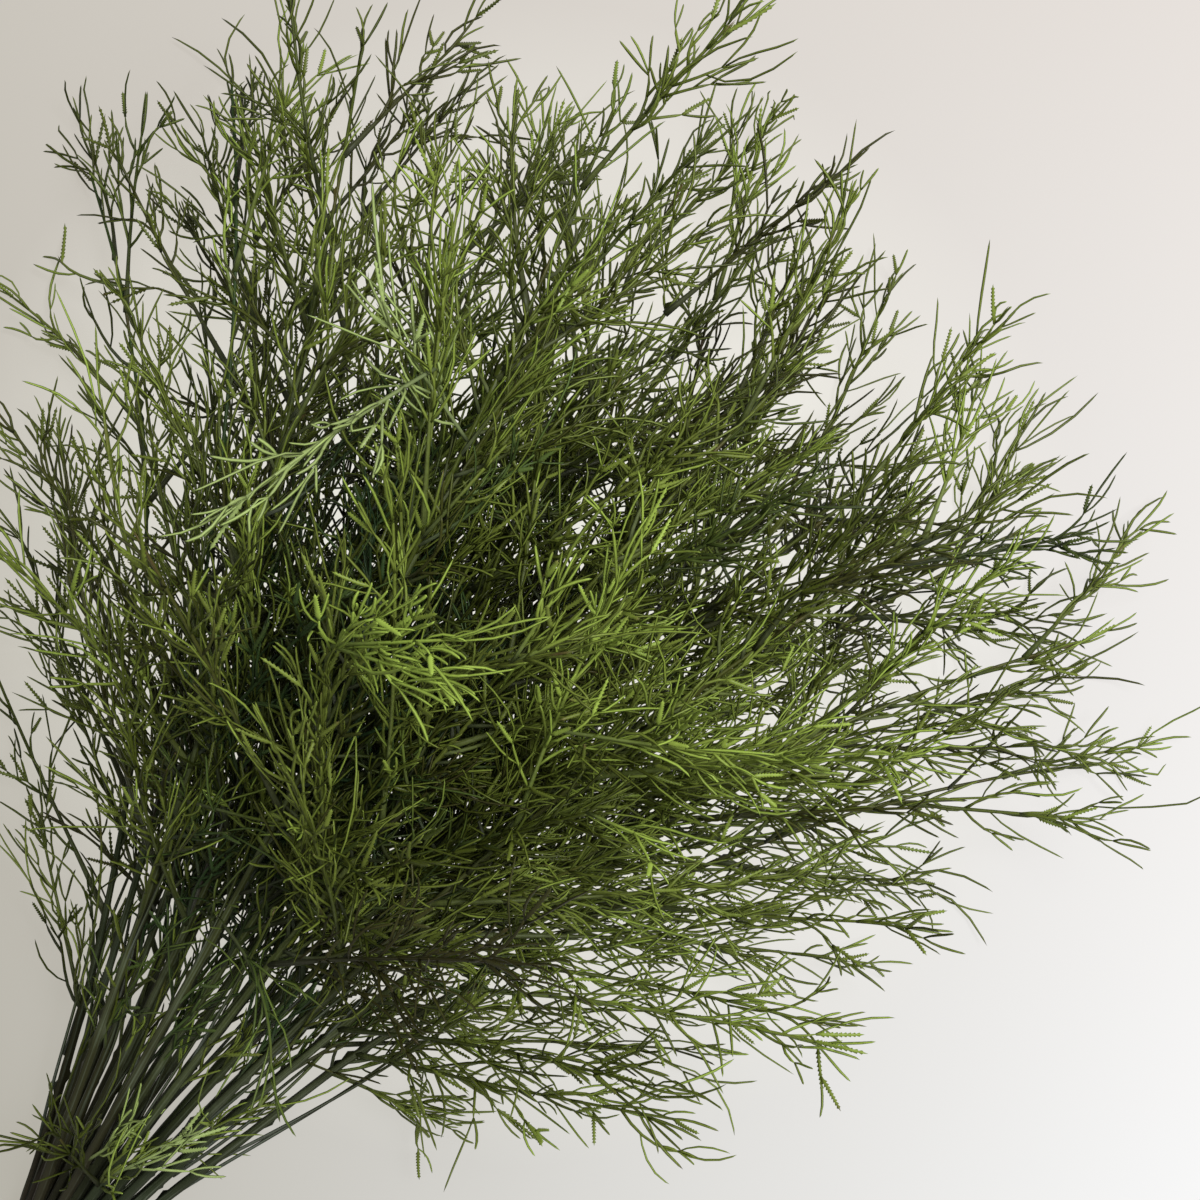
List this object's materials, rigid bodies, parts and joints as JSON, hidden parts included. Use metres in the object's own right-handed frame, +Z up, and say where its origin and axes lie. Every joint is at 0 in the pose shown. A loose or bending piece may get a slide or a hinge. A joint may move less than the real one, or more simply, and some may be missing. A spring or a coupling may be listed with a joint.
{
  "type": "dill bunch",
  "caption": "Bunch of dill lying on its side, its stems held by a rubber band near their cut ends and fanned out into a wide spray of thread-like green foliage.",
  "frame": {"origin": "on the surface that the bunch lies on, under the middle of the band", "axes": "+X runs along the bunch from the band to the tips of the foliage, +Y across it, +Z up"},
  "size_m": [0.4488, 0.3496, 0.1469],
  "materials": {
    "foliage": "satin green, darker and browner on the stems, yellow-green at the tips",
    "band": "matt tan rubber"
  },
  "bodies": {
    "root": {"leafy_stem_01": "foliage", "leafy_stem_02": "foliage", "leafy_stem_03": "foliage", "leafy_stem_04": "foliage", "leafy_stem_05": "foliage", "leafy_stem_06": "foliage", "leafy_stem_07": "foliage", "leafy_stem_08": "foliage", "leafy_stem_09": "foliage", "leafy_stem_10": "foliage", "leafy_stem_11": "foliage", "leafy_stem_12": "foliage", "leafy_stem_13": "foliage", "leafy_stem_14": "foliage", "leafy_stem_15": "foliage", "leafy_stem_16": "foliage", "leafy_stem_17": "foliage", "leafy_stem_18": "foliage", "leafy_stem_19": "foliage", "leafy_stem_20": "foliage", "leafy_stem_21": "foliage", "leafy_stem_22": "foliage", "leafy_stem_23": "foliage", "leafy_stem_24": "foliage", "band": "band"}
  },
  "joints": []
}
